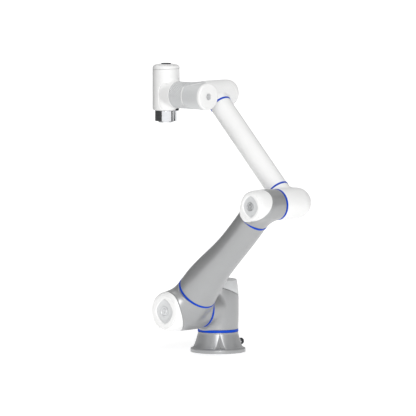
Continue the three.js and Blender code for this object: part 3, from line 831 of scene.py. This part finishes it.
# ------------------------------------------------------------------ elbow
ELBOW_FAR = span("elbow_housing")[1][1]
elbow_wall = fair_curve([
    (-46, 8), (-41.5, 20), (-37.5, 32), (-31, 41.5), (-21, 50), (-6, 57), (14, 60), (60, 61), (90, 60.4),
    (112.4, 59.2), (125, 58),
])
ELBOW_SEAM = 112.4
ELBOW_BORE = 49
ELBOW_WALL = 9
ELBOW_FLOOR = -30
ELBOW_ROOT = 43.4
ELBOW_ROOT_END = 68.8
ELBOW_FILLET = 22
ELBOW_CROWN = 6
FOREARM_BORE = 37


def elbow_field(points):
    """The elbow's open end faces joint 3, and its far end is closed."""
    radius, out, away = cylinder_place(points, J3, FRONT)
    across, along, root_away = cylinder_place(points, FOREARM_LINE, UP_FOREARM)
    body = radius - elbow_wall(out)
    branch = np.maximum(across - ELBOW_ROOT, -along)
    outside = tee((body, away), (branch, root_away), ELBOW_FILLET)
    outside = smooth_max(outside, along - ELBOW_ROOT_END, EDGE)
    outside = smooth_max(outside, out - ELBOW_SEAM, EDGE)
    outside = smooth_max(outside, -ELBOW_FAR - out, ELBOW_CROWN)
    inside = np.maximum(radius - np.minimum(ELBOW_BORE, elbow_wall(out) - ELBOW_WALL), ELBOW_FLOOR - out)
    tube_hole = np.maximum(across - FOREARM_BORE, -along)
    return np.maximum(outside, -np.minimum(inside, tube_hole))


cast("elbow_casting", elbow_field, *span("elbow_housing"), WHITE, "forearm", ["elbow_housing"], step=2)
for place, (ring_low, ring_high) in {"lower": (69.15, 75.65), "upper": (508.75, 515.25)}.items():
    seal(f"forearm_{place}_clamp", 43.9, FOREARM_BORE, ring_low, ring_high, 0.3, FOREARM_LINE, UP_FOREARM,
         "forearm", f"forearm_{place}_ring")
forearm_outline = ring_outline(42.5, FOREARM_BORE, 75.95, 508.45, 0.8)
turn("forearm_casting", forearm_outline, FOREARM_LINE, UP_FOREARM, WHITE, "forearm", "forearm_tube")


# ------------------------------------------------------------------ joint 4 module
j4_wall = fair_curve([
    (-125, 50.5), (-112.4, 51.6), (-95, 52.8), (-70, 53), (5, 53), (20, 52.4), (30, 51), (37, 48.6),
    (41.5, 45), (44.6, 39.5), (48, 30),
])
J4_FACE = span("j4_cap")[1][1]
J4_SEAM = -112.4
J4_BORE = 46
J4_ROOT = 43.2
J4_ROOT_END = 52.3
J4_FILLET = 16
J4_PARTING = 8
J4_SLANT = 0.35


def j4_shape(points):
    return tee_shape(
        points, (J4, Y, j4_wall, J4_SEAM, J4_FACE, J4_BORE),
        (ROOT, -UP_FOREARM, J4_ROOT, 0, J4_ROOT_END, FOREARM_BORE), J4_FILLET,
    )


def j4_split(points):
    slanted = J4_PARTING + J4_SLANT * ((points - J4) @ -UP_FOREARM)
    return (points[..., 1] - slanted) / math.hypot(1, J4_SLANT)


j4_housing_field, j4_cap_field = split(j4_shape, j4_split)
j4_box = around("j4_housing", "j4_cap")
cast("joint_4_casting", j4_housing_field, *j4_box, WHITE, "forearm", ["j4_housing"], step=2)
cast("joint_4_cap", j4_cap_field, *j4_box, WHITE, "forearm", ["j4_cap"], step=2)


# ------------------------------------------------------------------ joint 5 module
WRIST = 52.5
WRIST_BORE = 46
SLEEVE_END = -60
BODY_END = 94.7
STUB_RADIUS = 51.4
STUB_REACH = ARM_OFFSET + J4_SEAM - 0.6
STUB_BORE = 42
STUB_FILLET = 18
RING_PLACE = 10  # of the seam, which carries a white band as a painted highlight, from joint 5's centre
RING_RUN = 68  # how far the seam's ends reach past that
RING_TURN = (42, 50)  # the angle where the seam starts to turn, and the angle that it takes
HALF_SEAM = 1.8
RIB_PITCH = 7.2
RIB_SLANT = 0.71
RIB_DEPTH = 0.96
RIB_REACH = (78, 12)  # the angle where the ribs have faded out, and the angle that the fade takes
FLAT_DEPTH = 0.6  # how far the ribbed band lies under the cover


def j5_shape(points):
    radius, out, away = cylinder_place(points, J5, X)
    across, along, stub_away = cylinder_place(points, J5, Y)
    stub = np.maximum(across - STUB_RADIUS, -along)
    outside = tee((radius - WRIST, away), (stub, stub_away), STUB_FILLET)
    outside = smooth_max(outside, along - STUB_REACH, EDGE)
    outside = smooth_max(outside, out - BODY_END, EDGE)
    outside = smooth_max(outside, SLEEVE_END - out, EDGE)
    hollow = np.minimum(radius - WRIST_BORE, np.maximum(across - STUB_BORE, -along))
    return np.maximum(outside, -hollow)


def from_front(points):
    """The angle round joint 5's axis from the side that faces the front, in degrees, positive above it."""
    offset = points - J5
    return np.degrees(np.arctan2(offset[..., 2], -offset[..., 1]))


def j5_seam(points):
    """The distance past the seam between the casting and the cover, where a white band stands in as a painted
    highlight. It runs round the front and turns along the top and the bottom.
    """
    turned = np.clip((np.abs(from_front(points)) - RING_TURN[0]) / RING_TURN[1], 0, 1)
    place = RING_PLACE + RING_RUN * (1 - (1 - turned) ** 2)
    return (points[..., 0] - J5[0] - place) / (1 + 1.1 * np.sin(np.pi * turned) ** 2)


def ribs(points):
    """How far the slanted ribs stand proud, on the front of the wrist before the seam."""
    angle = from_front(points)
    out = points[..., 0] - J5[0]
    round_it = np.radians(angle) * WRIST
    wave = np.cos(2 * np.pi * (round_it + RIB_SLANT * out) / RIB_PITCH)
    fade = np.clip((-j5_seam(points) - 5) / 4, 0, 1) * np.clip((out - SLEEVE_END - 4) / 4, 0, 1)
    fade = fade * np.clip((RIB_REACH[0] - np.abs(angle)) / RIB_REACH[1], 0, 1)
    return RIB_DEPTH * fade * np.clip(wave * 1.5 - 0.2, -1, 1)


def j5_casting_field(points):
    return smooth_max(j5_shape(points) + FLAT_DEPTH - ribs(points), j5_seam(points) + HALF_SEAM, 1)


def j5_cover_field(points):
    return smooth_max(j5_shape(points), HALF_SEAM - j5_seam(points), 1)


# A white band in the gap along the seam: a painted highlight, standing for the light that catches the parting
# line's edge.
def j5_painted_highlight_field(points):
    radius, _, _ = cylinder_place(points, J5, X)
    shell = np.maximum(j5_shape(points) - 0.4, WRIST - 4 - radius)
    return smooth_max(shell, np.abs(j5_seam(points)) - 1.6, 1)


j5_low, j5_high = around("j5_housing", "j5_cover")
cast("joint_5_casting", j5_casting_field, j5_low, j5_high, LIGHT, "wrist_1", ["j5_housing"], step=1.4)
cast("joint_5_cover", j5_cover_field, j5_low, j5_high, LIGHT, "wrist_1", ["j5_cover"], step=2)
# The white band in the seam is a painted highlight.
cast("joint_5_seam_painted_highlight", j5_painted_highlight_field, j5_low, j5_high, WHITE, "wrist_1", ["j5_light_ring"], step=1.3)
turn("joint_5_cap", rounded([
    (0, 95), (52.5, 95), (52.5, 101.5), (51.4, 105.4), (48, 108), (42.6, 108), (42.2, 107.4), (41.4, 107.4),
    (41, 108), (12.8, 108), (12.8, 106), (0, 106),
], 1), J5, X, WHITE, "wrist_1", "j5_cap")
plug("joint_5_plug", J5, X, 106.3, 12.5, 1.2, "wrist_1", "j5_cap_plug")


# ------------------------------------------------------------------ joint 6 module
J6_LOW = -62
J6_TOP = 116.5
J6_CROWN = 4
NECK_END = 63.4
NECK_FILLET = 20
J6_ROOF = 6
J6_PARTING = 96
J6_SLANT = 0.06
BUTTON_HOLE = 19.8
BUTTON_FLOOR = 100
LINE_SPREAD = math.radians(77)  # half the angle that the saddle's panel line spans
LINE_LOW, LINE_HIGH = -58, 42
LINE_CORNER = 26
PANEL_LINE = 1.9
j6_wall = fair_curve([
    (-66, 47), (-62, 50), (-59, 51.8), (-54, 52.5), (99, 52.5), (103, 52.3), (107, 51.2), (110.4, 48.8),
    (113, 45), (115, 39.5), (116.6, 32), (118, 22),
])


def j6_shape(points):
    radius, up, away = cylinder_place(points, J6, Z)
    across, along, neck_away = cylinder_place(points, J6, X)
    body = smooth_max(radius - j6_wall(up), up - J6_TOP, J6_CROWN)
    body = smooth_max(body, J6_LOW - up, EDGE)
    neck = np.maximum(across - WRIST, -along)
    outside = tee((body, away), (neck, neck_away), NECK_FILLET)
    outside = smooth_max(outside, along - NECK_END, EDGE)
    outside = smooth_max(outside, J6_LOW - up, EDGE)
    hollow = np.maximum(radius - WRIST_BORE, up - J6_TOP + J6_ROOF)
    hollow = np.minimum(hollow, np.maximum(across - STUB_BORE, -along))
    return np.maximum(outside, -hollow)


def j6_groove(points):
    """A fine panel line round the saddle of the neck: a rounded rectangle wrapped round the body."""
    radius, up, _ = cylinder_place(points, J6, Z)
    offset = points - J6
    round_it = np.abs(np.arctan2(offset[..., 1], offset[..., 0])) * WRIST
    u = round_it - LINE_SPREAD * WRIST + LINE_CORNER
    v = np.abs(up - (LINE_LOW + LINE_HIGH) / 2) - (LINE_HIGH - LINE_LOW) / 2 + LINE_CORNER
    outline = np.hypot(np.maximum(u, 0), np.maximum(v, 0)) + np.minimum(np.maximum(u, v), 0) - LINE_CORNER
    return np.hypot(outline, radius - WRIST) - PANEL_LINE


def j6_split(points):
    offset = points - J6
    return offset[..., 2] - J6_PARTING - J6_SLANT * offset[..., 0]


def j6_grooved(points):
    return np.maximum(j6_shape(points), -j6_groove(points))


def j6_drilled(points):
    """The body with the hole for the button in its top."""
    radius, up, _ = cylinder_place(points, J6, Z)
    hole = np.maximum(radius - BUTTON_HOLE, BUTTON_FLOOR - up)
    return smooth_max(j6_shape(points), -hole, 1)


j6_casting_field, _ = split(j6_grooved, j6_split, FINE_GAP, FINE_EDGE)
_, j6_cap_field = split(j6_drilled, j6_split, FINE_GAP, FINE_EDGE)


cast("joint_6_casting", j6_casting_field, *around("j6_housing", "j6_cap"), WHITE, "wrist_2", ["j6_housing"],
     step=1.4)
cast("joint_6_cap", j6_cap_field, *span("j6_cap"), WHITE, "wrist_2", ["j6_cap"], step=1.6)
turn("teach_button_disc", rounded([
    (0, 113.5), (19, 113.5), (19, 118.6), (18, 119.5), (13.4, 119.5), (12.8, 119), (0, 118.8),
], 0.5), J6, Z, DARK, "button", "teach_button", 96)
turn("tool_io_plug", rounded([
    (0, -61.5), (4, -61.5), (4, -60), (5, -60), (5, -61.5), (6.5, -61.5), (6.5, -53.2), (0, -53.2),
], 0.3), J6 + X * 60, Z, DARK, "wrist_2", "tool_io_socket", 64)

TOOL_RADIUS = 43.3
TOOL_TOP, TOOL_LOW = -62.3, -104
TOOL_STEP = 30
TOOL_FACE = -109
TOOL_PILOT = 15.75
PILOT_FLOOR = -103
TOOL_CIRCLE = 25
TOOL_HOLE = 2.5
HOLE_FLOOR = -97


def tool_flange_field(points):
    radius, up, _ = cylinder_place(points, J6, Z)
    disc = smooth_max(radius - TOOL_RADIUS, np.maximum(up - TOOL_TOP, TOOL_LOW - up), 1.4)
    boss = smooth_max(radius - TOOL_STEP, np.maximum(up + 80, TOOL_FACE - up), 1)
    body = smooth_min(disc, boss, FINE_EDGE)
    body = smooth_max(body, -np.maximum(radius - TOOL_PILOT, up - PILOT_FLOOR), FINE_EDGE)
    for way in quarter_ways(math.pi / 4):
        hole, _, _ = cylinder_place(points, J6 + way * TOOL_CIRCLE, Z)
        body = smooth_max(body, -np.maximum(hole - TOOL_HOLE, up - HOLE_FLOOR), 0.6)
    return body


cast("tool_flange_disc", tool_flange_field, *span("tool_flange"), POLISHED, "tool", ["tool_flange"], step=1.2)


# ------------------------------------------------------------------ carried-over CAD nodes
LOOKS = {
    "steel": STEEL, "aluminium": ALUMINIUM, "motor_winding": WINDING, "circuit_board": BOARD,
    "dark_plastic": DARK, "grey_shell": GREY, "light_shell": LIGHT, "white_shell": WHITE, "blue_ring": BLUE,
}
for node in frame["nodes"].values():
    for place in node.material_slots:
        place.material = LOOKS[place.material.name]


# ------------------------------------------------------------------ floor and light
def make_panel(name, corners, tone, specular):
    """A flat matt panel that isn't part of the arm."""
    mesh = bpy.data.meshes.new(name)
    mesh.from_pydata(corners, [], [(0, 1, 2, 3)])
    material = bpy.data.materials.new(name + "_look")
    material.use_nodes = True
    shader = material.node_tree.nodes["Principled BSDF"]
    shader.inputs["Base Color"].default_value = (tone, tone, tone, 1)
    shader.inputs["Roughness"].default_value = 0.9
    shader.inputs["Specular IOR Level"].default_value = specular
    mesh.materials.append(material)
    panel = bpy.data.objects.new(name, mesh)
    bpy.context.scene.collection.objects.link(panel)
    return panel, shader


FLOOR_REACH = 300
FLAG_HEIGHTS = (0.3, 1.5)
FLOOR_DROP = 0.0006  # keeps the floor clear of the base's underside


def make_floor():
    low, high = -FLOOR_REACH, FLOOR_REACH
    drop = -FLOOR_DROP
    corners = [(low, low, drop), (high, low, drop), (high, high, drop), (low, high, drop)]
    _, shader = make_panel("floor", corners, 0.9, 0.1)
    shader.inputs["Emission Color"].default_value = (1, 1, 1, 1)
    shader.inputs["Emission Strength"].default_value = 0.5


def make_sun(name, towards, strength, angle):
    data = bpy.data.lights.new(name, "SUN")
    data.energy = strength
    data.angle = math.radians(angle)
    light = bpy.data.objects.new(name, data)
    light.rotation_euler = Vector(towards).to_track_quat("Z", "Y").to_euler()
    bpy.context.scene.collection.objects.link(light)


def make_world():
    world = bpy.data.worlds.new("studio")
    world.use_nodes = True
    sky = world.node_tree.nodes["Background"]
    sky.inputs["Color"].default_value = (1, 1, 1, 1)
    sky.inputs["Strength"].default_value = 0.5
    bpy.context.scene.world = world
    bpy.context.scene.view_settings.view_transform = "Standard"


def make_flag(name, sideways, nearest, farthest, tone):
    """A dark panel beside the camera's view, edge on to it, that gives the glossy sides something dark to
    reflect. sideways is its distance to the camera's right, and nearest and farthest are distances behind
    the arm."""
    right = Vector((math.cos(AZIMUTH), math.sin(AZIMUTH), 0))
    behind = Vector((-math.sin(AZIMUTH), math.cos(AZIMUTH), 0))
    near, far = [right * sideways + behind * along for along in (nearest, farthest)]
    low, high = [Vector((0, 0, height)) for height in FLAG_HEIGHTS]
    flag, _ = make_panel(name, [near + low, far + low, far + high, near + high], tone, 0.5)
    flag.visible_shadow = False


make_floor()
make_flag("flag_left", -1.0, -0.9, 1.6, 0.09)
make_flag("flag_right_near", 1.1, -1.0, -0.55, 0.1)
make_flag("flag_right_far", 1.1, -0.1, 0.4, 0.1)
make_sun("key", (0.74, -0.6, 0.36), 1.6, 30)
make_sun("top", (-0.35, -0.25, 0.9), 0.4, 40)
make_world()
